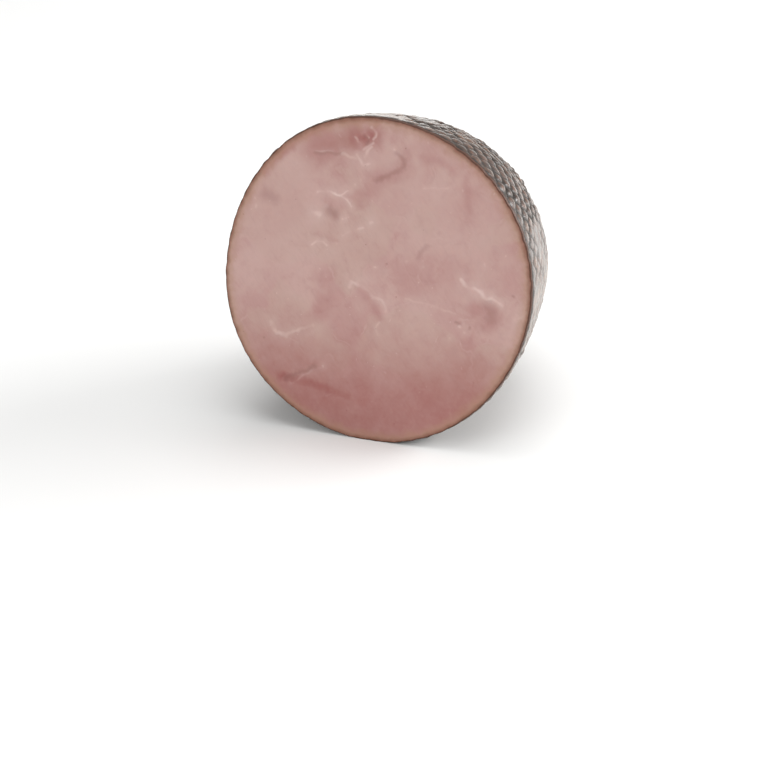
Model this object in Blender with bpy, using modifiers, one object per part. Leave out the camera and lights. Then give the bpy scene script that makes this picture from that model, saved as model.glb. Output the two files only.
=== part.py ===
"""Half a smoked leg ham, cut straight across, with the imprint of its net in the skin.

The ham is one solid. It lies on its belly with the cut face towards -Y, leaning back a
little, and its rounded butt end towards +Y. Units are metres, +Z is up, and the origin is
on the surface that the ham rests on, under the middle of its box.
"""

import math

import bmesh
import bpy
import mathutils

# Driving dimensions of the ham, in metres
MEAN_RADIUS = 0.0976
LENGTH = 0.150
CENTRE_HEIGHT = 0.0958
LEAN_BACK = math.radians(10.0)

# The sides fall away from the cut slowly, then turn in to a blunt round end
SHOULDER_POWER = 1.71
END_POWER = 2.78

# The section isn't round: each lobe has its count, its share of the radius and its peak's angle
SECTION_LOBES = (
    (2, 0.0134, math.radians(67.0)),
    (3, 0.0036, math.radians(-5.5)),
    (4, 0.0059, math.radians(22.0)),
    (5, 0.0012, math.radians(-17.0)),
)

# Muscles swell the sides, most of all behind the middle of the length.
# Each swell has its height, its count around, its waves along and where its wave starts.
SWELLS = (
    (0.0018, 2, 0.6, 5.1),
    (0.0012, 3, 1.1, 0.0),
    (0.0008, 5, 1.7, 2.2),
)
SWELL_REAR_POWER = 1.6

# The soft belly sags towards the rear, so that the ham rests on a patch that reaches well back.
# The sag has its height, its share of the length, its reach along and its spread around.
BELLY_SAG = 0.0095
SAG_SHARE = 0.80
SAG_REACH = 0.29
SAG_SPREAD = math.radians(52.0)

# The net: diamonds around the girth, their length along the side, and the depth of the cords
NET_CELLS_AROUND = 58
NET_CELL_LENGTH = 0.0124
PILLOW_RISE = 0.0004
CORD_DEPTH = 0.0008

# The share of the imprint's depth that is left at the cut, and the rows over which it fades
RIM_IMPRINT = 0.4
RIM_ROWS = 2

# The net was gathered and tied at the butt end, which leaves a dimple and folds running into it
PUCKER_RADIUS = 0.017
PUCKER_DEPTH = 0.009
KNOT_RADIUS = 0.0035
PLEATS = 17
PLEAT_HEIGHT = 0.0011
PLEAT_RADIUS = 0.017
PLEAT_REACH = 0.009

# Towards the knot the net's cells crowd together, and their imprint fades out between these radii
CROWDED_RADIUS = 0.012
OPEN_RADIUS = 0.050

COLUMNS = 2 * NET_CELLS_AROUND
FACE_RINGS = 3
ON_FACE = -1
FINE_STEPS = 4000
MERGE_DISTANCE = 0.00005


def clear_scene():
    for obj in list(bpy.data.objects):
        bpy.data.objects.remove(obj, do_unlink=True)


def side_radius(share):
    """Radius of the turned body at a share of its length, 0 at the cut and 1 at the end."""
    return MEAN_RADIUS * (1 - share**SHOULDER_POWER) ** (1 / END_POWER)


def dimple(radius):
    """How far the butt end is drawn in at this distance from the axis."""
    return PUCKER_DEPTH * math.exp(-((radius / PUCKER_RADIUS) ** 2))


def side_outline():
    """Points (radius, distance from the cut) along the side, half a net cell apart."""
    fine = []
    for i in range(FINE_STEPS + 1):
        share = math.sin(0.5 * math.pi * i / FINE_STEPS)
        radius = side_radius(share)
        fine.append((radius, share * LENGTH - dimple(radius)))
    travelled = [0.0]
    for (r0, z0), (r1, z1) in zip(fine, fine[1:]):
        travelled.append(travelled[-1] + math.hypot(r1 - r0, z1 - z0))
    reach = next(d for d, (radius, _) in zip(travelled, fine) if radius < KNOT_RADIUS)
    rows = round(reach / (NET_CELL_LENGTH / 2))
    outline = []
    at = 0
    for row in range(rows + 1):
        while travelled[at] < reach * row / rows:
            at += 1
        outline.append(fine[at])
    return outline


def turned_body():
    """A Screw of the outline: end dimple, side down to the rim, then in across the cut face.

    The point attribute net_row counts half net cells from the rim, and is below 0 on the face.
    """
    side = side_outline()
    face = [(MEAN_RADIUS * ring / FACE_RINGS, 0.0) for ring in range(FACE_RINGS - 1, -1, -1)]
    knot = [(0.0, side[-1][1])]
    points = knot + side[::-1] + face
    rows = [len(side)] + list(range(len(side) - 1, -1, -1)) + [ON_FACE] * len(face)

    mesh = bpy.data.meshes.new("ham_outline")
    edges = [(i, i + 1) for i in range(len(points) - 1)]
    mesh.from_pydata([(radius, 0.0, z) for radius, z in points], edges, [])
    net_row = mesh.attributes.new("net_row", "FLOAT", "POINT")
    for i, row in enumerate(rows):
        net_row.data[i].value = row

    outline = bpy.data.objects.new("ham_outline", mesh)
    bpy.context.scene.collection.objects.link(outline)
    screw = outline.modifiers.new("turn", "SCREW")
    screw.axis = "Z"
    screw.angle = 2 * math.pi
    screw.steps = COLUMNS
    screw.render_steps = COLUMNS
    screw.use_merge_vertices = True
    screw.merge_threshold = MERGE_DISTANCE
    graph = bpy.context.evaluated_depsgraph_get()
    turned = bpy.data.meshes.new_from_object(outline.evaluated_get(graph))
    bpy.data.objects.remove(outline, do_unlink=True)
    return turned, side


def net_place(vertex, row_layer):
    """Half net cells around from +X, up positive, and along from the rim."""
    angle = math.atan2(-vertex.co.y, vertex.co.x)
    column = round(angle / (2 * math.pi) * COLUMNS) % COLUMNS
    return column, round(vertex[row_layer])


def is_cord(column, row):
    """Cords run through every other point of the net's grid, pillows rise at the rest."""
    return (column + row) % 2 == 1


def section_share(angle):
    """Radius of the lobed section as a share of the mean radius, by angle from +X, up positive."""
    return 1 + sum(size * math.cos(count * (angle - peak)) for count, size, peak in SECTION_LOBES)


def swell(angle, share):
    """Height of the muscles' swelling, none at the cut or at the end."""
    fade = math.sin(math.pi * min(1.0, max(0.0, share)) ** SWELL_REAR_POWER)
    waves = (
        height * math.sin(count * angle + 2 * math.pi * waves_along * share + start)
        for height, count, waves_along, start in SWELLS
    )
    return fade * sum(waves)


def belly_sag(angle, share):
    """How far the underside hangs, most of all towards the rear."""
    from_below = math.remainder(angle + math.pi / 2, 2 * math.pi)
    along = math.exp(-(((share - SAG_SHARE) / SAG_REACH) ** 2))
    return BELLY_SAG * along * math.exp(-((from_below / SAG_SPREAD) ** 2))


def pleat(angle, radius):
    """Height of the folds that the gathered net left round the dimple."""
    nearness = math.exp(-(((radius - PLEAT_RADIUS) / PLEAT_REACH) ** 2))
    return PLEAT_HEIGHT * nearness * math.cos(PLEATS * angle)


def net_height(column, row, radius):
    """Height of the net's imprint, lower at the rim, and fading out towards the knot."""
    at_rim = min(1.0, RIM_IMPRINT + (1 - RIM_IMPRINT) * row / RIM_ROWS)
    at_knot = min(1.0, max(0.0, (radius - CROWDED_RADIUS) / (OPEN_RADIUS - CROWDED_RADIUS)))
    return at_rim * at_knot * (-CORD_DEPTH if is_cord(column, row) else PILLOW_RISE)


def outward(side):
    """The direction (radius, length) square to the side at each of its points."""
    directions = []
    for row in range(len(side)):
        r0, z0 = side[max(0, row - 1)]
        r1, z1 = side[min(len(side) - 1, row + 1)]
        step = math.hypot(r1 - r0, z1 - z0)
        directions.append(((z1 - z0) / step, (r0 - r1) / step))
    directions[0] = (1.0, 0.0)
    return directions


def fold_along_cords(bm, row_layer):
    """Splits each four-sided face between its two cord points, so that the cords run straight."""
    for face in list(bm.faces):
        if len(face.verts) != 4 or any(v[row_layer] < 0 for v in face.verts):
            continue
        cords = [v for v in face.verts if is_cord(*net_place(v, row_layer))]
        bmesh.utils.face_split(face, cords[0], cords[1])
    bmesh.ops.triangulate(bm, faces=bm.faces[:])


def shape_ham(bm, row_layer, side):
    """Moves the turned body's points to the lobed, swollen, net-marked form, and beds its belly."""
    lean = mathutils.Matrix.Rotation(-(math.pi / 2 + LEAN_BACK), 4, "X")
    place = mathutils.Matrix.Translation((0, 0, CENTRE_HEIGHT)) @ lean
    directions = outward(side)
    for vertex in bm.verts:
        x, y, z = vertex.co
        column, row = net_place(vertex, row_layer)
        angle = math.atan2(-y, x)
        turned_radius = math.hypot(x, y)
        radius = turned_radius * section_share(angle)
        if row > 0:
            fullness = swell(angle, z / LENGTH) + belly_sag(angle, z / LENGTH)
            radius += fullness * turned_radius / MEAN_RADIUS
        if 0 <= row < len(side):
            rise = net_height(column, row, turned_radius) + pleat(angle, turned_radius)
            radius += rise * directions[row][0]
            z += rise * directions[row][1]
        floor = (CENTRE_HEIGHT - z * math.sin(LEAN_BACK)) / math.cos(LEAN_BACK)
        down = -radius * math.sin(angle)
        vertex.co = place @ mathutils.Vector((radius * math.cos(angle), min(down, floor), z))
        if down > floor:
            vertex.co.z = 0.0


def middle_on_origin(bm):
    """Slides the ham level, so that the middle of its box is over the origin."""
    for axis in (0, 1):
        places = [vertex.co[axis] for vertex in bm.verts]
        shift = -(min(places) + max(places)) / 2
        for vertex in bm.verts:
            vertex.co[axis] += shift


def principled(name, colour, roughness):
    material = bpy.data.materials.new(name)
    material.use_nodes = True
    shader = material.node_tree.nodes["Principled BSDF"]
    shader.inputs["Base Color"].default_value = (*colour, 1.0)
    shader.inputs["Roughness"].default_value = roughness
    shader.inputs["Metallic"].default_value = 0.0
    return material


def build_ham():
    mesh, side = turned_body()
    mesh.name = "ham"
    bm = bmesh.new()
    bm.from_mesh(mesh)
    row_layer = bm.verts.layers.float["net_row"]
    fold_along_cords(bm, row_layer)
    shape_ham(bm, row_layer, side)
    middle_on_origin(bm)
    bm.to_mesh(mesh)
    bm.free()
    mesh.materials.append(principled("smoked_skin", (0.055, 0.016, 0.012), 0.32))
    mesh.materials.append(principled("cured_meat", (0.50, 0.30, 0.26), 0.45))
    towards_cut = mathutils.Vector((0, -math.cos(LEAN_BACK), math.sin(LEAN_BACK)))
    for polygon in mesh.polygons:
        on_cut = polygon.normal.dot(towards_cut) > 0.999
        polygon.material_index = 1 if on_cut else 0
    mesh.shade_smooth()
    mesh.set_sharp_from_angle(angle=math.radians(40))
    return bpy.data.objects.new("ham", mesh)


def main():
    clear_scene()
    parts = bpy.data.collections.new("ham_half")
    bpy.context.scene.collection.children.link(parts)
    parts.objects.link(build_ham())


main()
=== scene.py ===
"""Looks of half a smoked leg ham: its cut face of cured meat and its glossy, net-marked skin.

The ham is one closed mesh, in metres, with +Z up. Its cut face looks along -Y and leans back a
little, and its tied butt end points along +Y. Lengths whose names end in _mm are millimetres.
Angles around the ham are measured from +X, up positive.
"""

import logging
import math
from dataclasses import dataclass, field
from enum import Enum
from functools import partial
from typing import Any, Callable

import bpy
import numpy as np
from mathutils import Matrix, Vector, noise
from mathutils.geometry import delaunay_2d_cdt


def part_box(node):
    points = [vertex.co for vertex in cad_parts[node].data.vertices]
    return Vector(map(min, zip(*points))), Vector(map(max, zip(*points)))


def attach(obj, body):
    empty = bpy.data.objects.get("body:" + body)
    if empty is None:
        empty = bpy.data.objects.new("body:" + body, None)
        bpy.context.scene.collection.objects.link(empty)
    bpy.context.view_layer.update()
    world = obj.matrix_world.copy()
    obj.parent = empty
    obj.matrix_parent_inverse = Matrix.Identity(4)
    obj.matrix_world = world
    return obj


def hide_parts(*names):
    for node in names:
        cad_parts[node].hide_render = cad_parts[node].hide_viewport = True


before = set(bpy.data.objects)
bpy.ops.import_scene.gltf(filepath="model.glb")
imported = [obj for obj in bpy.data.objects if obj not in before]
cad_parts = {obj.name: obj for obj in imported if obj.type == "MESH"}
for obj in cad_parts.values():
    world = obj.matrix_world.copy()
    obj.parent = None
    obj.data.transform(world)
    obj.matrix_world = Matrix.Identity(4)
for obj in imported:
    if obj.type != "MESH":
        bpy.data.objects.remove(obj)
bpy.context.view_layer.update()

MM = 0.001
TURN = 2 * math.pi
Array = np.ndarray
Material = bpy.types.Material
Socket = bpy.types.NodeSocket
Tree = bpy.types.NodeTree
Adder = Callable[..., Socket]
Surface = tuple[Socket, list[tuple[Any, ...]], dict[str, Any]]
log = logging.getLogger("ham")

# Types of nodes. A noise takes a place, W, a scale, a detail and a roughness.
ATTRIBUTE = "ShaderNodeAttribute"
MAP_RANGE = "ShaderNodeMapRange"
MATH = "ShaderNodeMath"
NOISE = "ShaderNodeTexNoise"
VECTOR_MATH = "ShaderNodeVectorMath"
VORONOI = "ShaderNodeTexVoronoi"


class Mark(Enum):
    """What a mark on the cut face is, and the name of the attribute that carries it."""

    PALE = "pale"
    BLUSH = "blush"
    SHADE = "shade"
    FAT = "fat"


def linear(hex_colour: str) -> tuple[float, float, float, float]:
    """Turns an sRGB hex colour to linear RGBA.

    Args:
        hex_colour: A hash and six hex digits.

    Returns:
        The linear colour with an alpha of 1.
    """
    shares = (int(hex_colour[i : i + 2], 16) / 255 for i in (1, 3, 5))
    red, green, blue = (s / 12.92 if s <= 0.04045 else ((s + 0.055) / 1.055) ** 2.4 for s in shares)
    return red, green, blue, 1.0


def set_inputs(node: bpy.types.Node, values: dict[Any, Any]) -> None:
    """Links or sets a node's inputs.

    Args:
        node: The node.
        values: By an input's name or number, a socket to link or a value to set.
    """
    for name, value in values.items():
        if isinstance(value, Socket):
            node.id_data.links.new(value, node.inputs[name])
        else:
            node.inputs[name].default_value = value


def add_node(
    tree: Tree,
    kind: str,
    *inputs: Any,
    named: dict[Any, Any] | None = None,
    output: int | str = 0,
    **settings: Any,
) -> Socket | None:
    """Adds a node with its settings and its links.

    Args:
        tree: The tree that gets the node.
        kind: The node's type name.
        inputs: For the first inputs in turn, a socket to link or a value to set.
        named: The same for other inputs, by name or number.
        output: Name or number of the output that the caller wants.
        settings: Properties of the node.

    Returns:
        The wanted output, or nothing where the node has none.
    """
    node = tree.nodes.new(kind)
    for name, value in settings.items():
        setattr(node, name, value)
    set_inputs(node, {**dict(enumerate(inputs)), **(named or {})})
    return node.outputs[output] if len(node.outputs) else None


def add_steps(add: Adder, known: dict[Any, Socket], steps: tuple[tuple, ...]) -> None:
    """Adds nodes in turn.

    Args:
        add: Adds a node to the tree at hand.
        known: Sockets by name. Each step's output is put in too.
        steps: For each node its output's name, its type or a Math operation, and what goes in,
            as names of known sockets or as values.
    """
    for name, kind, *inputs in steps:
        found = [known.get(value, value) for value in inputs]
        how = {"operation": kind} if kind.isupper() else {}
        known[name] = add(MATH if how else kind, *found, **how)


def bell(share: Array) -> Array:
    """Falls smoothly from 1 at 0 to almost nothing at 2."""
    return np.exp(-(share**2))


def wrapped(angle: Array) -> Array:
    """Brings angles to half a turn either way."""
    return (angle + math.pi) % TURN - math.pi


def eased(share: Array) -> Array:
    """Rises smoothly from 0 at 0 to 1 at 1."""
    share = np.clip(share, 0.0, 1.0)
    return share * share * (3 - 2 * share)


def rough_field(places: Array, size: float, layer: float) -> Array:
    """Smooth random values from about -1 to 1 for flat places, apart from other layers' values."""
    return np.array([noise.noise(Vector((x / size, y / size, layer))) for x, y in places])


@dataclass(frozen=True)
class HamForm:
    """The bare form: a turned body with a lobed section, swollen sides and a sagging belly."""

    mean_radius: float = 0.0976  # of the cut face
    length: float = 0.150  # from the cut to the butt end
    centre_height: float = 0.0958  # of the cut face's centre
    lean_back: float = math.radians(10.0)  # of the cut face
    shoulder_power: float = 1.71  # how slowly the sides fall away from the cut
    end_power: float = 2.78  # how blunt the butt end is
    pucker_radius: float = 0.017  # of the dimple where the net was tied
    pucker_depth: float = 0.009
    knot_radius: float = 0.0035  # inside which the net was bunched
    swell_rear_power: float = 1.6  # how far back the swellings are greatest
    sag: float = 0.0095  # how far the belly hangs
    sag_share: float = 0.8  # share of the length at which it hangs most
    sag_reach: float = 0.29  # share of the length over which it does
    sag_spread: float = math.radians(52.0)  # how far around it does
    outline_steps: int = 4000
    # Waves of the section: their count, share of the mean radius and a crest's angle in degrees
    lobes: tuple[tuple[int, float, float], ...] = (
        (2, 0.0134, 67.0),
        (3, 0.0036, -5.5),
        (4, 0.0059, 22.0),
        (5, 0.0012, -17.0),
    )
    # Swellings of the sides: their height, waves around, waves along and where these start
    swells: tuple[tuple[float, int, float, float], ...] = (
        (0.0018, 2, 0.6, 5.1),
        (0.0012, 3, 1.1, 0.0),
        (0.0008, 5, 1.7, 2.2),
    )

    def outline(self) -> tuple[Array, Array, Array]:
        """Traces the side from the rim to the knot.

        Returns:
            The radius, the distance from the cut and the distance travelled at each point.
        """
        share = np.sin(0.5 * math.pi * np.arange(self.outline_steps + 1) / self.outline_steps)
        fullness = np.clip(1 - share**self.shoulder_power, 0.0, 1.0)
        radius = self.mean_radius * fullness ** (1 / self.end_power)
        along = share * self.length - self.pucker_depth * bell(radius / self.pucker_radius)
        travelled = np.concatenate([[0.0], np.cumsum(np.hypot(np.diff(radius), np.diff(along)))])
        last = int(np.argmax(radius < self.knot_radius)) + 1
        return radius[:last], along[:last], travelled[:last]

    def section_share(self, angle: Array) -> Array:
        """Radius of the lobed section as a share of the mean radius."""
        lobes = ((count, share, math.radians(crest)) for count, share, crest in self.lobes)
        return 1 + sum(share * np.cos(count * (angle - crest)) for count, share, crest in lobes)

    def skin_radius(self, angle: Array, radius: Array, along: Array) -> Array:
        """Radius of the lobed, swollen and sagging side.

        Args:
            angle: Angle around.
            radius: The turned body's radius.
            along: Distance from the cut.

        Returns:
            The radius, without the net's imprint.
        """
        share = along / self.length
        swelling = sum(
            height * np.sin(count * angle + TURN * waves_along * share + start)
            for height, count, waves_along, start in self.swells
        )
        fade = np.sin(math.pi * np.clip(share, 0.0, 1.0) ** self.swell_rear_power)
        hanging = bell((share - self.sag_share) / self.sag_reach)
        hanging = hanging * bell(wrapped(angle + math.pi / 2) / self.sag_spread)
        proud = (fade * swelling + self.sag * hanging) * radius / self.mean_radius
        return radius * self.section_share(angle) + proud

    def floor_depth(self, along: Array | float) -> Array | float:
        """How far below the axis the resting surface is, at a distance from the cut."""
        return (self.centre_height - along * math.sin(self.lean_back)) / math.cos(self.lean_back)

    def place(self, right: Array, up: Array, along: Array) -> Array:
        """Turns places right of, above and behind the cut face's centre to places with Z up."""
        up = np.maximum(up, -self.floor_depth(along))
        return self.direction(right, up, along) + np.array([0.0, 0.0, self.centre_height])

    def direction(self, right: Array, up: Array, along: Array) -> Array:
        """Turns directions seen from the cut face to directions with Z up."""
        sine, cosine = math.sin(self.lean_back), math.cos(self.lean_back)
        return np.stack([right, up * sine + along * cosine, up * cosine - along * sine], axis=-1)


@dataclass(frozen=True)
class Slack:
    """A strip along the side where the net lay slack or tight, and printed less or more."""

    middle_deg: float
    spread_deg: float  # angle over which it fades out
    loss: float  # share of the imprint lost in its middle, below 0 where the net was tight

    def tightness(self, angle: Array) -> Array:
        """Share of the imprint that is left, by angle."""
        away = wrapped(angle - math.radians(self.middle_deg))
        return 1 - self.loss * bell(away / math.radians(self.spread_deg))


# The net's relief, as add_steps takes it. First the pillows between its diagonal cords, from 0
# in a groove to 1 on top. A pillow has one number, also where the girth closes.
CELL_STEPS = (
    ("rise", "ADD", "net_column", "net_row"),
    ("fall", "SUBTRACT", "net_column", "net_row"),
    ("rises", "MULTIPLY", "rise", math.pi / 2),
    ("rises", "COSINE", "rises"),
    ("falls", "MULTIPLY", "fall", math.pi / 2),
    ("falls", "COSINE", "falls"),
    ("pillow", "MULTIPLY", "rises", "falls"),
    ("pillow", "ABSOLUTE", "pillow"),
    ("pillow", "POWER", "pillow", "Roundness"),
    ("rise_cell", "MULTIPLY_ADD", "rise", 0.5, 0.5),
    ("rise_cell", "FLOOR", "rise_cell"),
    ("fall_cell", "MULTIPLY_ADD", "fall", 0.5, 0.5),
    ("fall_cell", "FLOOR", "fall_cell"),
    ("around", "ADD", "rise_cell", "fall_cell"),
    ("around", "FLOORED_MODULO", "around", "Half Cells Around"),
    ("row_numbers", "MULTIPLY", "Half Cells Around", 4.0),
    ("number", "SUBTRACT", "rise_cell", "fall_cell"),
    ("number", "MULTIPLY_ADD", "number", "row_numbers", "around"),
)

RELIEF_STEPS = (
    # Each pillow's height, by its luck from -0.5 to 0.5
    ("size", "MULTIPLY_ADD", "luck", "Unevenness", 1.0),
    ("size", "MULTIPLY", "size", "pillow"),
    ("full", "ADD", "Pillow Rise", "Cord Depth"),
    ("height", "MULTIPLY", "size", "full"),
    ("height", "SUBTRACT", "height", "Cord Depth"),
    # The imprint is shallow at the cut and the knot, and where the net lay looser
    ("at_rim", MAP_RANGE, "net_row", 0.0, "Rim Rows", "Rim Share", 1.0),
    ("at_knot", MAP_RANGE, "turned_radius", "Crowded Radius", "Open Radius"),
    ("scale", "DIVIDE", 1.0, "Loose Size"),
    ("pull", NOISE, "place", 0.0, "scale", 1.0),
    ("pull", MAP_RANGE, "pull", 0.38, 0.62, "Loose Share", "Tight Share"),
    ("pull", "MULTIPLY", "pull", "tightness"),
    ("fade", "MULTIPLY", "at_rim", "at_knot"),
    ("fade", "MULTIPLY", "fade", "pull"),
    # Folds run into the knot
    ("away", "SUBTRACT", "turned_radius", "Pleat Radius"),
    ("away", "DIVIDE", "away", "Pleat Reach"),
    ("away", "POWER", "away", 2.0),
    ("near", "MULTIPLY", "away", -1.0),
    ("near", "EXPONENT", "near"),
    ("folds", "DIVIDE", "net_column", "Half Cells Around"),
    ("folds", "MULTIPLY", "folds", "Pleats"),
    ("folds", "MULTIPLY", "folds", TURN),
    ("folds", "COSINE", "folds"),
    ("folds", "MULTIPLY", "folds", "near"),
    ("folds", "MULTIPLY", "folds", "Pleat Height"),
    # Skin that dried in the smoke is wrinkled
    ("scale", "DIVIDE", 1.0, "Wrinkle Size"),
    ("wrinkles", NOISE, "place", 0.0, "scale", 2.0),
    ("wrinkles", "SUBTRACT", "wrinkles", 0.5),
    ("wrinkles", "MULTIPLY", "wrinkles", "Wrinkle Height"),
    ("height", "MULTIPLY_ADD", "height", "fade", "folds"),
    ("height", "ADD", "height", "wrinkles"),
    ("height", "MULTIPLY", "height", "printed"),
    # Painted shade in the grooves, and the skin dried dark along the cut
    ("groove", "SUBTRACT", 1.0, "pillow"),
    ("groove", "MULTIPLY", "groove", "fade"),
    ("dried", MAP_RANGE, "net_row", 0.2, 0.9, 0.8, 0.0),
    ("tar", "MAXIMUM", "groove", "dried"),
    ("inside", "GREATER_THAN", "on_cut", 0.99),
)


@dataclass(frozen=True)
class NetImprint:
    """The print of the net that the ham was cooked in, with the folds where it was tied."""

    half_cells_around: int = 116  # half diamonds around the girth
    cell_length: float = 0.0124  # of a diamond, along the side
    pillow_rise: float = 0.0004  # of the meat between the cords
    cord_depth: float = 0.0010  # of the cords' grooves
    roundness: float = 0.5  # power of the pillows' profile, lower for narrower grooves
    unevenness: float = 0.6  # how much one pillow's height differs from the next
    loose_size: float = 0.023  # between places where the net lay looser
    loose_share: float = 0.4  # share of the imprint that is left there
    tight_share: float = 1.15  # the same where it lay tighter
    rim_share: float = 0.22  # the same at the cut
    rim_rows: float = 1.7  # half cells from there to the imprint's full depth
    crowded_radius: float = 0.012  # at the butt end, inside which the imprint has gone
    open_radius: float = 0.050  # at which it has its full depth
    pleats: int = 17  # folds around the knot
    pleat_height: float = 0.0011
    pleat_radius: float = 0.017  # at which the folds are highest
    pleat_reach: float = 0.009  # how far from there they run
    wrinkle_height: float = 0.0007  # of the wrinkles of skin that dried in the smoke
    wrinkle_size: float = 0.0046  # between them
    seed: int = 11  # of the pillows' unevenness

    def sizes(self) -> dict[str, float | int]:
        """The tree's inputs and their values, which are the fields with names spelled out."""
        return {name.replace("_", " ").title(): value for name, value in vars(self).items()}

    def press(self, piece: bpy.types.Object, skin: Material, meat: Material) -> None:
        """Presses the net into a piece, and leaves the result as its plain mesh.

        Args:
            piece: The bare ham, with its attributes.
            skin: Material of the skin.
            meat: Material of the cut face.
        """
        tree = self._tree()
        modifier = piece.modifiers.new("net imprint", "NODES")
        modifier.node_group = tree
        values = {**self.sizes(), "Skin": skin, "Meat": meat}
        for socket in tree.interface.items_tree:
            if socket.in_out == "INPUT" and socket.name in values:
                modifier[socket.identifier] = values[socket.name]
        graph = bpy.context.evaluated_depsgraph_get()
        bare = piece.data
        pressed = bpy.data.meshes.new_from_object(piece.evaluated_get(graph))
        piece.modifiers.remove(modifier)
        piece.data = pressed
        pressed.name = bare.name
        bpy.data.meshes.remove(bare)

    def _tree(self) -> Tree:
        """Builds the tree that presses the net in and gives each face its material.

        Returns:
            The geometry node tree, with an input for each of the sizes.
        """
        tree = bpy.data.node_groups.new("net imprint", "GeometryNodeTree")
        kinds = {name: type(value).__name__.title() for name, value in self.sizes().items()}
        kinds = {"Geometry": "Geometry", **kinds, "Skin": "Material", "Meat": "Material"}
        for name, kind in kinds.items():
            tree.interface.new_socket(name, in_out="INPUT", socket_type=f"NodeSocket{kind}")
        tree.interface.new_socket("Geometry", in_out="OUTPUT", socket_type="NodeSocketGeometry")
        add = partial(add_node, tree)
        known = dict(tree.nodes.new("NodeGroupInput").outputs.items())
        read = "GeometryNodeInputNamedAttribute"
        for name in ("net_column", "net_row", "turned_radius", "tightness", "printed", "on_cut"):
            known[name] = add(read, name)
        outward = add(read, "outward", data_type="FLOAT_VECTOR")
        known["place"] = add("GeometryNodeInputPosition")

        add_steps(add, known, CELL_STEPS)
        draw = {2: -0.5, 3: 0.5, "ID": known["number"], "Seed": known["Seed"]}
        known["luck"] = add("FunctionNodeRandomValue", named=draw, output=1)
        add_steps(add, known, RELIEF_STEPS)

        shift = {"Scale": known["height"]}
        offset = add(VECTOR_MATH, outward, named=shift, operation="SCALE")
        ham = add("GeometryNodeSetPosition", known["Geometry"], named={"Offset": offset})
        # The belly stays on the surface that the ham rests on
        above = add(VECTOR_MATH, known["place"], (-1.0, -1.0, 0.0), operation="MAXIMUM")
        ham = add("GeometryNodeSetPosition", ham, named={"Position": above})
        # The grooves' painted shade and the darker skin along the cut, for the skin's finish
        tar = {"Name": "tar", "Value": known["tar"]}
        ham = add("GeometryNodeStoreNamedAttribute", ham, named=tar)
        ham = add("GeometryNodeRealizeInstances", ham)
        for chosen, material in ((True, "Skin"), (known["inside"], "Meat")):
            ham = add("GeometryNodeSetMaterial", ham, chosen, known[material])
        add("NodeGroupOutput", ham)
        return tree


@dataclass(frozen=True)
class Stroke:
    """A mark on the cut face: a line through its points, or a patch at one point."""

    width_mm: float  # from its middle to where it has faded out
    strength: float  # in the middle, from 0 to 1
    points: tuple[tuple[float, float], ...]  # millimetres right of and above the face's centre

    def distance_mm(self, places: Array) -> Array:
        """Distance of each place from the stroke's line.

        Args:
            places: Places on the face in millimetres, one a row.

        Returns:
            One distance for each place.
        """
        nearest = np.full(len(places), np.inf)
        for start, end in list(zip(self.points, self.points[1:])) or [self.points * 2]:
            first, run = np.array(start), np.subtract(end, start)
            share = np.clip((places - first) @ run / max(run @ run, 1e-9), 0.0, 1.0)
            away = np.linalg.norm(places - first - share[:, None] * run, axis=1)
            nearest = np.minimum(nearest, away)
        return nearest


# Each mark's width, strength and points
FAT_VEINS = (
    (1.3, 0.4, (-35, 53), (-28, 53)),
    (1.5, 0.78, (-28, 53), (-25, 52), (-20, 52), (-16, 55)),
    (1.3, 0.65, (-20, 52), (-16, 49), (-13, 46)),
    (1.2, 0.48, (-19, 28), (-15, 31)),
    (1.4, 0.38, (-9, 33), (-6, 34)),
    (1.4, 0.38, (-2, 37), (0, 38)),
    (1.1, 0.45, (-38, 21), (-35, 23), (-31, 23), (-29, 21)),
    (2.6, 0.5, (-14, -3), (-13, 1), (-7, -1), (-2, -5), (1, -7)),
    (2.2, 0.42, (1, -7), (6, -8), (8, -11), (9, -15)),
    (2.0, 0.55, (55, 9), (58, 6), (62, 5), (67, 3), (70, 0), (73, 1), (76, -1), (80, -3)),
    (1.4, 0.5, (88, -11), (91, -9), (94, -6), (96, -6)),
    (2.6, 0.4, (-65, -30), (-62, -36), (-55, -37), (-49, -34), (-44, -31), (-38, -29)),
    (1.5, 0.14, (-53, -68), (-44, -62), (-37, -57), (-32, -55)),
    (1.9, 0.5, (-10, 76), (-8, 73), (-6, 70), (-3, 71)),
    (1.8, 0.42, (-5, 75), (-4, 78), (-1, 81)),
    (2.4, 0.34, (-19, 76), (-16, 75), (-11, 74)),
    (1.2, 0.28, (-36, 76), (-25, 77)),
    (1.4, 0.48, (-7, 88), (-5, 89), (-4, 88), (-3, 86)),
    (1.6, 0.52, (-11, 86), (-10, 83), (-8, 82)),
    (1.6, 0.4, (-1, 92), (1, 90), (1, 87), (0, 85)),
    (1.5, 0.38, (-6, 79), (-3, 81), (0, 83)),
    (1.0, 0.28, (31, 60), (38, 61), (45, 61)),
    (1.4, 0.2, (21, -6), (36, -8), (52, -11)),
    (1.5, 0.3, (5, -22), (3, -26), (4, -30)),
)

FAT_FLECKS = (
    (3.4, 0.75, (-36, 40), (-34, 39)),
    (1.5, 0.75, (-17, 39)),
    (1.5, 0.65, (-19, 38)),
    (1.5, 0.45, (2, 11)),
    (1.6, 0.3, (21, 16)),
    (1.4, 0.25, (31, 14)),
    (1.6, 0.4, (-31, -54)),
    (1.6, 0.35, (13, 81)),
    (1.4, 0.4, (-11, 59)),
    (1.4, 0.35, (-7, 61)),
    (1.7, 0.45, (55, -19)),
    (1.7, 0.45, (58, -22)),
    (1.5, 0.3, (49, -26)),
    (2.2, 0.3, (-75, 41)),
    (1.6, 0.3, (11, -27)),
)

# Redder muscles; the two lowest strokes also carry painted shade
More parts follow.
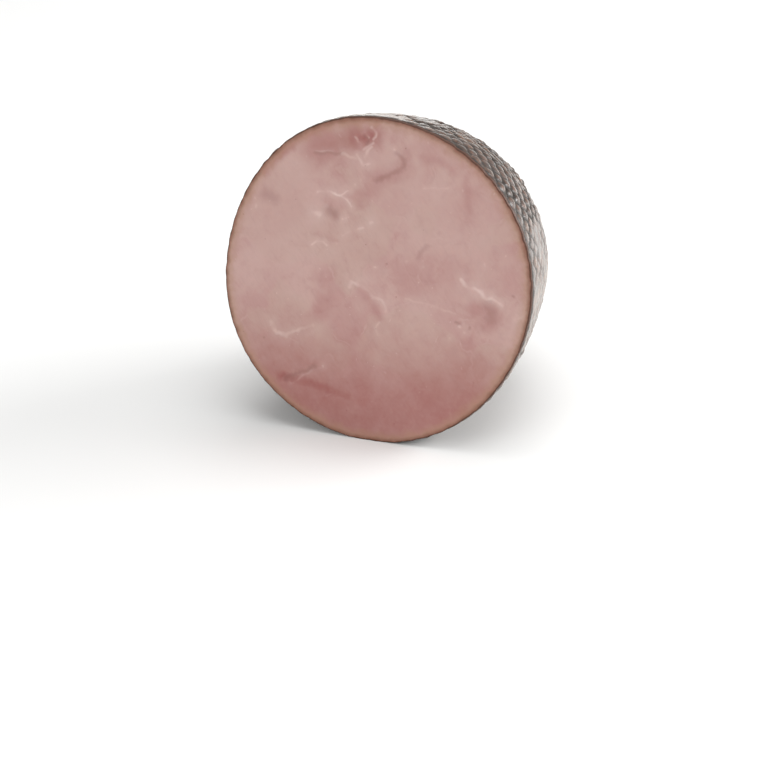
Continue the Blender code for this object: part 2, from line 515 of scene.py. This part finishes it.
RED_MUSCLES_AND_LOW_SHADE = (
    (20.0, 0.5, (-34, 79), (-24, 81), (-12, 86)),
    (12.0, 0.95, (-10, 85), (-2, 87)),
    (9.0, 0.28, (19, 71), (14, 66), (4, 62), (-4, 54), (-8, 49)),
    (5.0, 0.22, (20, 79), (21, 73)),
    (4.5, 0.2, (29, 77), (38, 76), (45, 73), (49, 70)),
    (4.5, 0.2, (55, 68), (57, 58), (58, 50)),
    (6.0, 0.32, (-8, -3), (-2, -8), (2, -12), (5, -18)),
    (10.0, 0.26, (-58, -46), (-50, -39), (-42, -31), (-36, -24), (-30, -15)),
    (12.0, 0.34, (66, -8), (74, -9), (70, -16)),
    # Redder and darker towards the bottom of the face: partly redder meat, partly painted shade
    (66.0, 0.66, (-66, -78), (0, -80), (60, -72)),
    (10.0, 0.8, (-60, -64), (-38, -66), (-16, -71)),
    (5.5, 0.55, (-70, 62), (-50, 81), (-24, 94), (2, 98)),
)

DARK_MARKS = (
    (6.0, 0.48, (-27, 42), (-24, 40)),
    (2.0, 0.4, (-36, 75), (-28, 76), (-19, 76)),
    (2.6, 0.35, (14, 79), (18, 75), (19, 71), (10, 66), (2, 62)),
    (3.0, 0.45, (-56, -65), (-46, -60), (-41, -58), (-37, -55)),
    (5.5, 0.26, (70, -4), (74, -7), (73, -12)),
    (2.0, 0.45, (53, -16), (55, -17)),
    (1.4, 0.4, (61, -19)),
    (0.9, 0.8, (9, 14)),
    (1.3, 0.5, (-6, 87), (-3, 85), (-4, 82)),
    (1.3, 0.5, (-70, -41)),
    (1.2, 0.4, (86, 3)),
    (2.8, 0.22, (28, 20), (31, 24), (34, 27)),
    (7.0, 0.32, (-68, 49), (-63, 47)),
)

PALE_MUSCLES = (
    (13.0, 0.6, (5, 75), (9, 73)),
    (30.0, 0.45, (-66, 12), (-60, 38), (-44, 56)),
    (26.0, 0.45, (18, 50), (40, 44)),
    (24.0, 0.35, (66, 18), (72, 40)),
    (20.0, 0.25, (25, -14), (34, -32)),
    (9.0, 0.45, (-60, 64), (-48, 75), (-33, 85)),
    (9.0, 0.3, (-34, 92), (-26, 94)),
)

STROKES = {
    mark: tuple(Stroke(width, strength, tuple(points)) for width, strength, *points in rows)
    for mark, rows in {
        Mark.PALE: PALE_MUSCLES,
        Mark.BLUSH: RED_MUSCLES_AND_LOW_SHADE,
        Mark.SHADE: DARK_MARKS,
        Mark.FAT: FAT_VEINS + FAT_FLECKS,
    }.items()
}

# Small hollows where muscles parted under the knife, each with its depth, middle and reach
POCKETS = (
    (1.0, (-3.0, 85.5), 3.0),
    (0.5, (-8.0, 86.0), 2.2),
    (0.3, (-25.0, 41.5), 3.0),
    (0.35, (54.0, -17.0), 1.6),
    (0.35, (9.0, 14.0), 0.8),
    (0.3, (72.5, -8.0), 4.0),
    (0.25, (-48.0, -35.0), 4.0),
    (0.3, (-1.0, -8.5), 3.0),
)


@dataclass(frozen=True)
class CutFace:
    """The flat face where the ham was cut, with its muscles, fat and pockets.

    Places on it are in millimetres right of and above its centre, one a row.
    """

    form: HamForm
    drawn_in_mm: float  # how far inside that form the rim is
    coarse_mm: float = 1.5  # between the mesh's points
    fine_mm: float = 0.5  # the same along thin marks
    thin_mm: float = 3.0  # width up to which a mark is thin
    clear_mm: float = 0.9  # distance that the points keep from the rim
    uneven_mm: float = 0.16  # height of the face's slow unevenness
    uneven_size_mm: float = 21.0  # between its rises
    flat_rim_mm: float = 8.0  # from the rim to where it starts to fade
    wobble_mm: float = 0.9  # how far the marks wander from their points
    halo: float = 3.2  # how many times wider than a vein its faint edge is
    halo_share: float = 0.32  # strength of that edge, as a share

    def from_rim(self, places: Array) -> Array:
        """Distance of each place from the rim, in millimetres.

        Args:
            places: Places on the face.

        Returns:
            One distance for each place.
        """
        right, up = places.T * MM
        rim = self.form.mean_radius * self.form.section_share(np.arctan2(up, right))
        to_side = (rim - np.hypot(right, up)) / MM - self.drawn_in_mm
        return np.minimum(to_side, (self.form.floor_depth(0.0) + up) / MM)

    def inner_places(self) -> Array:
        """Lays staggered rows of points over the face, closer together along thin marks.

        Returns:
            Places on the face, all inside the rim.
        """
        reach = 1.05 * self.form.mean_radius / MM
        thin = [stroke for stroke in sum(STROKES.values(), ()) if stroke.width_mm <= self.thin_mm]
        kept = []
        for spacing, beyond, along in ((self.coarse_mm, self.fine_mm, 0), (self.fine_mm, 0.0, 1)):
            row_step = spacing * math.sqrt(3) / 2
            rows = int(reach / row_step)
            row, column = np.mgrid[-rows : rows + 1, -rows : rows + 1]
            right = (column + 0.5 * (row % 2)) * spacing
            places = np.stack([right.ravel(), (row * row_step).ravel()], axis=1)
            places = places[self.from_rim(places) > self.clear_mm]
            near = np.zeros(len(places), bool)
            for stroke in thin:
                margin = stroke.width_mm + 0.6 * self.wobble_mm + beyond
                near |= stroke.distance_mm(places) < margin
            kept.append(places[near == along])
        return np.concatenate(kept)

    def mark_strengths(self, places: Array) -> dict[Mark, Array]:
        """Strength of each kind of mark, with ragged edges and broken veins.

        Args:
            places: Places on the face.

        Returns:
            One strength for each place, by kind of mark.
        """
        ragged, slow, broken = (rough_field(places, size, size) for size in (2.1, 9.0, 4.6))
        wander = np.stack([rough_field(places, 4.4, layer) for layer in (20.5, 31.5)], axis=1)
        wandered = places + self.wobble_mm * wander
        strengths = {}
        for mark, strokes in STROKES.items():
            strength = np.zeros(len(places))
            for stroke in strokes:
                away = stroke.distance_mm(wandered)
                width = stroke.width_mm + ragged * min(0.45 * stroke.width_mm, 1.5)
                width += slow * min(0.3 * stroke.width_mm, 6.0)
                core = eased(1 - away / width) * (1 + 0.12 * ragged + 0.15 * slow)
                if mark is Mark.FAT:
                    core = core * np.clip(1.0 + 0.9 * broken, 0.25, 1.3)
                    edge = eased(1 - away / (self.halo * width))
                    core = np.maximum(core, self.halo_share * edge)
                strength = np.maximum(strength, core * stroke.strength)
            strengths[mark] = strength
        return strengths

    def depth(self, places: Array) -> Array:
        """Depth of the pockets and the slow unevenness.

        Args:
            places: Places on the face.

        Returns:
            A depth in metres for each place.
        """
        slow = rough_field(places, self.uneven_size_mm, 9.0)
        fade = np.clip(self.from_rim(places) / self.flat_rim_mm, 0.0, 1.0)
        depth = self.uneven_mm * slow * fade
        for deep, middle, reach in POCKETS:
            depth += deep * bell(np.linalg.norm(places - np.array(middle), axis=1) / reach)
        return depth * MM


@dataclass(frozen=True)
class Finish:
    """A procedural material: layers of colour over each other, and a fine relief.

    A layer is a colour and its share, or a colour, a pattern, the pattern's values where the
    layer starts and where it is full, and its greatest share.
    """

    name: str
    base: str  # the lowest layer's colour
    relief_mm: float  # height of the relief
    ior: float

    def surface(self, add: Adder, place: Socket) -> Surface:
        """Draws the relief's pattern, the layers and values for the shader."""
        raise NotImplementedError

    def make(self) -> Material:
        """Makes the material.

        Returns:
            The material, with its Principled shader dressed.
        """
        material = bpy.data.materials.new(self.name)
        material.use_nodes = True
        tree = material.node_tree
        add = partial(add_node, tree)
        place = add("ShaderNodeTexCoord", output="Object")
        place = add(VECTOR_MATH, place, named={"Scale": 1 / MM}, operation="SCALE")
        height, layers, values = self.surface(add, place)
        colour = linear(self.base)
        smooth = {"interpolation_type": "SMOOTHSTEP"}
        for hex_colour, share, *limits in layers:
            if limits:
                low, high, greatest = limits
                share = add(MAP_RANGE, share, low, high, 0.0, greatest, **smooth)
            both = {6: colour, 7: linear(hex_colour)}
            colour = add("ShaderNodeMix", share, named=both, output=2, data_type="RGBA")
        relief = {"Height": height, "Distance": self.relief_mm * MM}
        values |= {"Base Color": colour, "Normal": add("ShaderNodeBump", named=relief)}
        set_inputs(tree.nodes["Principled BSDF"], {**values, "IOR": self.ior})
        return material


@dataclass(frozen=True)
class SmokedSkin(Finish):
    """Smoked pork skin, cooked in a net: dark mahogany, hard and glossy with rendered fat."""

    name: str = "smoked ham skin"
    base: str = "#341e0e"  # skin that the smoke reached most
    brown: str = "#603a22"  # skin that it reached less
    amber: str = "#875f3e"  # patches that took little smoke
    groove: str = "#1e140b"  # painted shade in the cords' grooves, and the cut edge
    fleck: str = "#1c0f0b"  # small burnt flecks
    mottle_mm: float = 8.0  # between darker and browner places
    patch_mm: float = 26.0  # between amber patches
    fleck_mm: float = 2.1  # between flecks
    wrinkle_mm: float = 1.3  # between the finest wrinkles
    relief_mm: float = 0.16  # height of those wrinkles
    ior: float = 1.45
    coat: float = 1.0  # share of the pillows under a film of rendered fat
    groove_coat: float = 0.08  # the same in the grooves
    coat_roughness: float = 0.24  # of that film
    bloom: float = 0.24  # strength of the dry, silvery bloom that shows at a flat angle
    bloom_roughness: float = 0.22
    bloom_tint: str = "#ead9b8"

    def surface(self, add: Adder, place: Socket) -> Surface:
        """Draws smoke stains, painted shade in the grooves, flecks and wrinkles.

        Args:
            add: Adds a node to the material's tree.
            place: Object coordinates in millimetres.

        Returns:
            The relief's pattern, the layers and values for the shader.
        """
        mottling, patches, flecks, wrinkles = (
            add(NOISE, place, 0.0, 1 / size, detail, rough, named={"Distortion": swirl})
            for size, detail, rough, swirl in (
                (self.mottle_mm, 4.0, 0.6, 0.0),
                (self.patch_mm, 5.0, 0.62, 0.4),
                (self.fleck_mm, 2.0, 0.5, 0.0),
                (self.wrinkle_mm, 4.0, 0.6, 0.6),
            )
        )
        tar = add(ATTRIBUTE, output="Fac", attribute_name="tar")
        layers = [
            (self.brown, mottling, 0.38, 0.66, 1.0),
            (self.amber, patches, 0.51, 0.7, 0.6),
            # Painted shade in the cords' grooves, and the darker skin along the cut
            (self.groove, tar, 0.15, 0.62, 0.95),
            (self.fleck, flecks, 0.56, 0.68, 0.7),
        ]
        dullness = add(MAP_RANGE, mottling, 0.3, 0.7, 0.28, 0.44)
        in_groove = add(MAP_RANGE, tar, 0.2, 0.8, 0.0, 0.25)
        return wrinkles, layers, {
            "Roughness": add(MATH, dullness, in_groove, operation="ADD"),
            "Coat Weight": add(MAP_RANGE, tar, 0.2, 0.8, self.coat, self.groove_coat),
            "Coat Roughness": self.coat_roughness,
            "Sheen Weight": self.bloom,
            "Sheen Roughness": self.bloom_roughness,
            "Sheen Tint": linear(self.bloom_tint),
        }


@dataclass(frozen=True)
class CuredMeat(Finish):
    """Cured, smoked and cooked pork, cut with a blade: moist, fine-grained and faintly satin."""

    name: str = "cured ham meat"
    base: str = "#c39a94"  # the lean meat's usual pink
    pale: str = "#cdaaa3"  # paler muscle
    beige: str = "#c8ab9f"  # greyer muscle, which the cure reached less
    red: str = "#9e5853"  # redder muscle, and painted shade low on the face
    shade: str = "#90615a"  # darker seams between muscles
    fat: str = "#e4cac3"  # veins of fat and gristle
    tan: str = "#b18a70"  # meat that the smoke stained
    crust: str = "#7f4f3b"  # meat just inside the skin
    skin: str = "#3f2214"  # the cut edge of the skin
    muscle_mm: float = 44.0  # between muscles
    bend_mm: float = 26.0  # how far the muscles' borders bend
    seam_mm: float = 1.1  # from a border to where its seam has faded out
    cloud_mm: float = 30.0  # between slow changes of colour
    blotch_mm: float = 9.0  # between small changes of colour
    fibre_mm: tuple[float, float] = (1.6, 8.0)  # width and length of the bundles of fibres
    fibre_turn: tuple[float, float, float] = (0.0, 0.6, 0.0)  # a little askew to the cut
    grain_mm: float = 0.8  # size of the finest grain
    relief_mm: float = 0.05  # height of that grain
    fleck_mm: float = 8.0  # between small flecks of fat
    pore_mm: float = 12.0  # between small dark pores
    sway_mm: float = 5.0  # between places where the stain goes deeper
    ior: float = 1.4
    subsurface: float = 0.15  # share of the light that goes through the surface
    glow: tuple[float, float, float] = (1.0, 0.35, 0.25)  # how far each colour goes in the meat
    glow_mm: float = 3.0  # how far that is for red

    def surface(self, add: Adder, place: Socket) -> Surface:
        """Draws fibres cut across, muscles, marks and the smoke's stain.

        Args:
            add: Adds a node to the material's tree.
            place: Object coordinates in millimetres.

        Returns:
            The relief's pattern, the layers and values for the shader.
        """
        width, length = self.fibre_mm
        drawn = add("ShaderNodeMapping", place, named={"Rotation": self.fibre_turn})
        stretch = (1 / width, 1 / width, 1 / length)
        drawn = add(VECTOR_MATH, drawn, stretch, operation="MULTIPLY")
        fibres = add(NOISE, drawn, 0.0, 1.0, 3.0, named={"Distortion": 0.8})
        grain = add(NOISE, place, 0.0, 1 / self.grain_mm, 3.0)
        height = add(MATH, fibres, 1.2, grain, operation="MULTIPLY_ADD")

        # The muscles differ a little, and some have thin seams between them
        bend = add(NOISE, place, 0.0, 2 / self.muscle_mm, 3.0, output="Color")
        bend = add(VECTOR_MATH, bend, (0.5, 0.5, 0.5), operation="SUBTRACT")
        reach = (self.bend_mm, self.bend_mm, self.bend_mm)
        bent = add(VECTOR_MATH, bend, reach, place, operation="MULTIPLY_ADD")
        cells = {"Vector": bent, "Scale": 1 / self.muscle_mm}
        border = add(VORONOI, named=cells, feature="DISTANCE_TO_EDGE")
        cells["Smoothness"] = 0.2
        kind = add(VORONOI, named=cells, output="Color", feature="SMOOTH_F1")
        kind = add("ShaderNodeSeparateColor", kind)
        clouds = add(NOISE, place, 0.0, 1 / self.cloud_mm, 4.0)
        blotches = add(NOISE, bent, 0.0, 1 / self.blotch_mm, 4.0, 0.6)
        fleck = add(VORONOI, bent, 0.0, 1 / self.fleck_mm)
        pore = add(VORONOI, place, 0.0, 1 / self.pore_mm)
        seam = self.seam_mm / self.muscle_mm
        seam = add(MAP_RANGE, border, seam, 0.0, interpolation_type="SMOOTHSTEP")
        broken = add(MAP_RANGE, blotches, 0.5, 0.62, 0.0, 0.18)
        layers = [
            (self.pale, clouds, 0.34, 0.66, 1.0),
            (self.beige, kind, 0.15, 0.85, 0.4),
            (self.red, blotches, 0.44, 0.8, 0.2),
            (self.shade, fibres, 0.42, 0.78, 0.08),
            (self.fat, fleck, 0.11, 0.04, 0.35),
            (self.shade, pore, 0.05, 0.02, 0.5),
            (self.fat, add(MATH, seam, broken, operation="MULTIPLY")),
        ]
        # The marks' colours; the redder marks also carry painted shade low on the face
        for colour, mark in zip((self.pale, self.red, self.shade, self.fat), Mark):
            strength = add(ATTRIBUTE, output="Fac", attribute_name=mark.value)
            layers.append((colour, strength))

        # The smoke's stain and the skin's cut edge: where they start and are full, the greatest
        # share and the sway
        depth = add(ATTRIBUTE, output="Fac", attribute_name="from_rim")
        wander = add(NOISE, place, 0.0, 1 / self.sway_mm, 3.0)
        for colour, start, full, share, sway in (
            (self.tan, 8.5, 1.0, 0.6, 7.0),
            (self.crust, 3.6, 0.5, 0.75, 2.6),
            (self.skin, 1.1, 0.3, 0.85, 1.3),
        ):
            swayed = add(MATH, wander, sway, -sway / 2, operation="MULTIPLY_ADD")
            reach = add(MATH, depth, swayed, operation="ADD")
            layers.append((colour, reach, start, full, share))
        return height, layers, {
            "Roughness": add(MAP_RANGE, fibres, 0.3, 0.7, 0.42, 0.55),
            "Subsurface Weight": self.subsurface,
            "Subsurface Radius": self.glow,
            "Subsurface Scale": self.glow_mm * MM,
        }


@dataclass
class HamHalf:
    """The whole half ham, as one closed mesh with two finishes."""

    form: HamForm = HamForm()
    net: NetImprint = NetImprint()
    skin: SmokedSkin = SmokedSkin()
    meat: CuredMeat = CuredMeat()
    steps: int = 4  # mesh steps in each half cell of the net
    edge_mm: float = 0.6  # radius of the rim's rounded edge
    curl_mm: float = 0.6  # how far the skin curls in at the cut
    curl_reach_mm: float = 5.0  # from the cut to where it starts to curl
    slack: tuple[Slack, ...] = (
        Slack(0.0, 20.0, 0.65),
        Slack(44.0, 22.0, -0.6),
        Slack(94.0, 18.0, 0.42),
        Slack(205.0, 25.0, 0.35),
    )
    drift_around: float = 0.020  # how far the net's lines drift around, in radians
    drift_along: float = 0.0018  # how far they drift along
    cut_centre: Vector = field(default_factory=Vector)  # middle of the cut face, once it is built

    def build(self) -> bpy.types.Object:
        """Builds, presses and places the ham.

        Returns:
            The finished piece.
        """
        piece = self._bare_ham()
        bpy.context.scene.collection.objects.link(piece)
        self.net.press(piece, self.skin.make(), self.meat.make())
        mesh = piece.data
        mesh.shade_smooth()

        # Its box is centred where the solid's is
        low, high = (Vector(corner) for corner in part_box("ham"))
        places = np.empty((len(mesh.vertices), 3), np.float32)
        mesh.vertices.foreach_get("co", places.ravel())
        slide = (low + high) / 2 - Vector((places.min(axis=0) + places.max(axis=0)) / 2)
        slide.z = 0.0
        mesh.transform(Matrix.Translation(slide))
        self.cut_centre = slide + Vector((0.0, 0.0, self.form.centre_height))
        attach(piece, "root")
        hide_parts("ham")
        return piece

    def _rings(self) -> dict[str, Array]:
        """Measures the skin's rings of points, from the cut face's edge to the knot.

        Returns:
            Arrays with a row for each ring and a column for each point around.
        """
        radius, along, travelled = self.form.outline()
        half_rows = round(travelled[-1] / (self.net.cell_length / 2))
        count = half_rows * self.steps
        columns = self.net.half_cells_around * self.steps
        turns = TURN * np.arange(columns) / columns
        share, angle = np.meshgrid(np.arange(count + 1) / count, turns, indexing="ij")
        net_column = angle / TURN * self.net.half_cells_around
        tightness = np.prod([strip.tightness(angle) for strip in self.slack], axis=0)

        # The net's lines drift, but stay in place at the cut and at the knot
        free = np.sin(math.pi * share)
        around = np.sin(2 * angle + 5 * share + 1.3) + 0.7 * np.sin(5 * angle - 9 * share)
        along_drift = np.sin(3 * angle + 0.7) + 0.8 * np.sin(7 * angle + 6 * share + 2.1)
        at = travelled[-1] * share + self.drift_along * free * along_drift
        angle = angle + self.drift_around * free * around

        ring_radius, ring_along = (np.interp(at, travelled, side) for side in (radius, along))
        step = 1 * MM
        run_radius, run_along = (
            np.interp(at + step, travelled, side) - np.interp(at - step, travelled, side)
            for side in (radius, along)
        )
        length = np.hypot(run_radius, run_along)
        out_radius, out_along = run_along / length, -run_radius / length
        out_radius[0], out_along[0] = 1.0, 0.0

        # Two more rings round the rim's edge off, from the cut face to the side
        edge = self.edge_mm * MM
        corner = edge * (1 - math.sqrt(0.5))
        curl = self.curl_mm * MM * np.clip(1 - at / (self.curl_reach_mm * MM), 0.0, 1.0) ** 2
        ring_along[0] = edge
        none, one = np.zeros((2, columns)), np.ones((2, columns))
        joined = {
            "angle": (one * angle[0], angle),
            "net_column": (one * net_column[0], net_column),
            "net_row": (none, share * half_rows),
            "turned_radius": (one * ring_radius[0], ring_radius),
            "tightness": (one * tightness[0], tightness),
            "along": (one * [[0.0], [corner]], ring_along),
            "inset": (one * [[edge], [corner]] + curl[0], curl),
            "out_radius": (one, out_radius),
            "out_along": (none, out_along),
        }
        return {name: np.concatenate(parts) for name, parts in joined.items()}

    def _skin_triangles(self, rings: int, columns: int) -> Array:
        """Joins the rings, with edges that run along the net's cords.

        Args:
            rings: Number of rings, with the two at the rounded edge.
            columns: Points in a ring.

        Returns:
            Three point numbers for each triangle.
        """
        row, column = (numbers.ravel() for numbers in np.mgrid[0 : rings - 1, 0:columns])
        here, beside = row * columns + column, row * columns + (column + 1) % columns
        behind, across = here + columns, beside + columns
        along_cord = (column - (row - 2)) % (2 * self.steps) == self.steps
        first = np.stack([here, behind, np.where(along_cord, across, beside)], axis=1)
        second = np.stack([np.where(along_cord, here, behind), across, beside], axis=1)

        last, around = (rings - 1) * columns, np.arange(columns)
        knot = np.full(columns, rings * columns)
        closing = np.stack([last + around, knot, last + (around + 1) % columns], axis=1)
        return np.concatenate([first, second, closing])

    def _bare_ham(self) -> bpy.types.Object:
        """Makes the ham without its net's imprint, as one mesh with its attributes.

        Returns:
            An object at the origin.
        """
        form, rings = self.form, self._rings()
        ring_count, columns = rings["angle"].shape
        angle, along, out = rings["angle"], rings["along"], rings["out_radius"]
        radius = form.skin_radius(angle, rings["turned_radius"], along) - rings["inset"]
        cosine, sine = np.cos(angle), np.sin(angle)
        right, up = radius * cosine, radius * sine
        outward = form.direction(out * cosine, out * sine, rings["out_along"])
        skin_places = form.place(right, up, along).reshape(-1, 3)
        knot_place = form.place(np.zeros(1), np.zeros(1), along[-1:, 0])

        face = CutFace(form, drawn_in_mm=self.curl_mm)
        edge = np.stack([right[0], np.maximum(up[0], -form.floor_depth(0.0))], axis=1) / MM
        inner = face.inner_places()
        inner_places = form.place(*(inner.T * MM), face.depth(inner))
        places = np.concatenate([skin_places, knot_place, inner_places])
        on_face = np.concatenate([np.arange(columns), np.arange(len(inner)) + len(skin_places) + 1])
        face_spots = np.concatenate([edge, inner])
        face_triangles = on_face[self._fill(face_spots, columns)]
        triangles = np.concatenate([self._skin_triangles(ring_count, columns), face_triangles])
        mesh = bpy.data.meshes.new("half_ham")
        mesh.from_pydata(places.tolist(), [], triangles.tolist())

        # The cut face's finish goes round the rim's rounded edge
        skin, cut = slice(0, len(skin_places)), np.concatenate([np.arange(4 * columns), on_face])
        traits = {
            name: (skin, rings[name].ravel())
            for name in ("net_column", "net_row", "turned_radius", "tightness")
        }
        traits |= {"printed": (skin, 1.0), "on_cut": (cut, 1.0)}
        traits["from_rim"] = (on_face, face.from_rim(face_spots))
        for mark, strength in face.mark_strengths(face_spots).items():
            traits[mark.value] = (on_face, strength)
        for name, (where, value) in traits.items():
            values = np.zeros(len(places), np.float32)
            values[where] = value
            mesh.attributes.new(name, "FLOAT", "POINT").data.foreach_set("value", values)
        values = np.zeros((len(places), 3), np.float32)
        values[skin] = outward.reshape(-1, 3)
        directions = mesh.attributes.new("outward", "FLOAT_VECTOR", "POINT")
        directions.data.foreach_set("vector", values.ravel())
        return bpy.data.objects.new("half_ham", mesh)

    @staticmethod
    def _fill(spots: Array, edge_count: int) -> Array:
        """Fills the cut face with triangles.

        Args:
            spots: Places of the face's edge, in order, and then of its inner points.
            edge_count: How many of them are on the edge.

        Returns:
            Three numbers of places for each triangle.
        """
        points = [Vector(spot) for spot in spots.tolist()]
        inside_edge, merged_below = 1, 1e-5
        loop = list(range(edge_count))
        filled = delaunay_2d_cdt(points, [], [loop], inside_edge, merged_below)
        triangles = np.array([origin[0] for origin in filled[3]])[np.array(filled[2])]
        first, second = (spots[triangles[:, i]] - spots[triangles[:, 0]] for i in (1, 2))
        facing_back = first[:, 0] * second[:, 1] < first[:, 1] * second[:, 0]
        triangles[facing_back] = triangles[facing_back][:, ::-1]
        return triangles


@dataclass(frozen=True)
class SoftLight:
    """A rectangular lamp behind a diffuser, which the camera doesn't see."""

    name: str
    place: tuple[float, float, float]
    sides: tuple[float, float]  # its width and height
    power: float  # in watts

    def hang(self, target: Vector) -> None:
        """Hangs the light.

        Args:
            target: The point that it faces.
        """
        lamp = bpy.data.lights.new(self.name, "AREA")
        lamp.shape = "RECTANGLE"
        lamp.size, lamp.size_y = self.sides
        lamp.energy = self.power
        holder = bpy.data.objects.new(self.name, lamp)
        holder.location = self.place
        holder.rotation_euler = (target - holder.location).to_track_quat("-Z", "Y").to_euler()
        holder.visible_camera = False
        bpy.context.scene.collection.objects.link(holder)


@dataclass(frozen=True)
class Studio:
    """A pale floor, soft light from all round, and the camera at the photograph's angle."""

    floor_size: float = 40.0  # side of the floor
    floor_colour: str = "#efefee"
    floor_roughness: float = 0.8
    surround: float = 0.42  # brightness of the white surroundings
    lights: tuple[SoftLight, ...] = (
        SoftLight("top softbox", (0.25, 0.38, 3.1), (3.0, 2.5), 61.0),
        SoftLight("front softbox", (-2.0, -3.25, 2.1), (2.5, 2.5), 39.5),
        SoftLight("rear left card", (-1.75, 2.5, 0.39), (2.75, 0.75), 9.4),
        SoftLight("right card", (2.38, 1.25, 1.1), (1.75, 1.5), 87.0),
    )
    camera_right: float = 0.2881  # distance to +X from the cut face's centre
    camera_front: float = 0.6951  # distance in front of that
    camera_height: float = 0.430
    azimuth_deg: float = 22.2  # how far the camera is turned to the left from +Y
    pitch_deg: float = 28.0  # how far it looks down
    roll_deg: float = -3.0
    lens: float = 65.6  # focal length in millimetres

    def build(self, cut_centre: Vector) -> None:
        """Builds the floor, the light and the camera.

        Args:
            cut_centre: The middle of the ham's cut face.
        """
        self._lay_floor()
        for light in self.lights:
            light.hang(cut_centre)
        world = bpy.data.worlds.new("white studio")
        world.use_nodes = True
        white = {"Color": (1.0, 1.0, 1.0, 1.0), "Strength": self.surround}
        set_inputs(world.node_tree.nodes["Background"], white)
        scene = bpy.context.scene
        scene.world = world
        scene.view_settings.view_transform = "Standard"
        lens = bpy.data.cameras.new("camera")
        lens.lens = self.lens
        scene.camera = bpy.data.objects.new("camera", lens)
        scene.collection.objects.link(scene.camera)
        right, front = cut_centre.x + self.camera_right, cut_centre.y - self.camera_front
        stand = Matrix.Translation((right, front, self.camera_height))
        turns = ((self.azimuth_deg, "Z"), (90.0 - self.pitch_deg, "X"), (self.roll_deg, "Z"))
        turn, tilt, roll = (Matrix.Rotation(math.radians(by), 4, axis) for by, axis in turns)
        scene.camera.matrix_world = stand @ turn @ tilt @ roll

    def _lay_floor(self) -> None:
        """Lays a sheet of pale paper, matt and almost smooth."""
        half = self.floor_size / 2
        mesh = bpy.data.meshes.new("paper_floor")
        corners = [(x * half, y * half, 0.0) for x, y in ((-1, -1), (1, -1), (1, 1), (-1, 1))]
        mesh.from_pydata(corners, [], [(0, 1, 2, 3)])
        paper = bpy.data.materials.new("matt backdrop paper")
        paper.use_nodes = True
        matt = {"Base Color": linear(self.floor_colour), "Roughness": self.floor_roughness}
        set_inputs(paper.node_tree.nodes["Principled BSDF"], matt)
        mesh.materials.append(paper)
        floor = bpy.data.objects.new("paper_floor", mesh)
        bpy.context.scene.collection.objects.link(floor)


def main() -> None:
    """Builds the ham and the studio, and logs the triangle count and the cut face's centre."""
    ham = HamHalf()
    piece = ham.build()
    log.info("%s: %d triangles", piece.name, len(piece.data.polygons))
    Studio().build(ham.cut_centre)
    log.info("studio: cut face's centre at %s", tuple(round(value, 4) for value in ham.cut_centre))


if __name__ == "__main__":
    logging.basicConfig(level=logging.INFO)
    main()
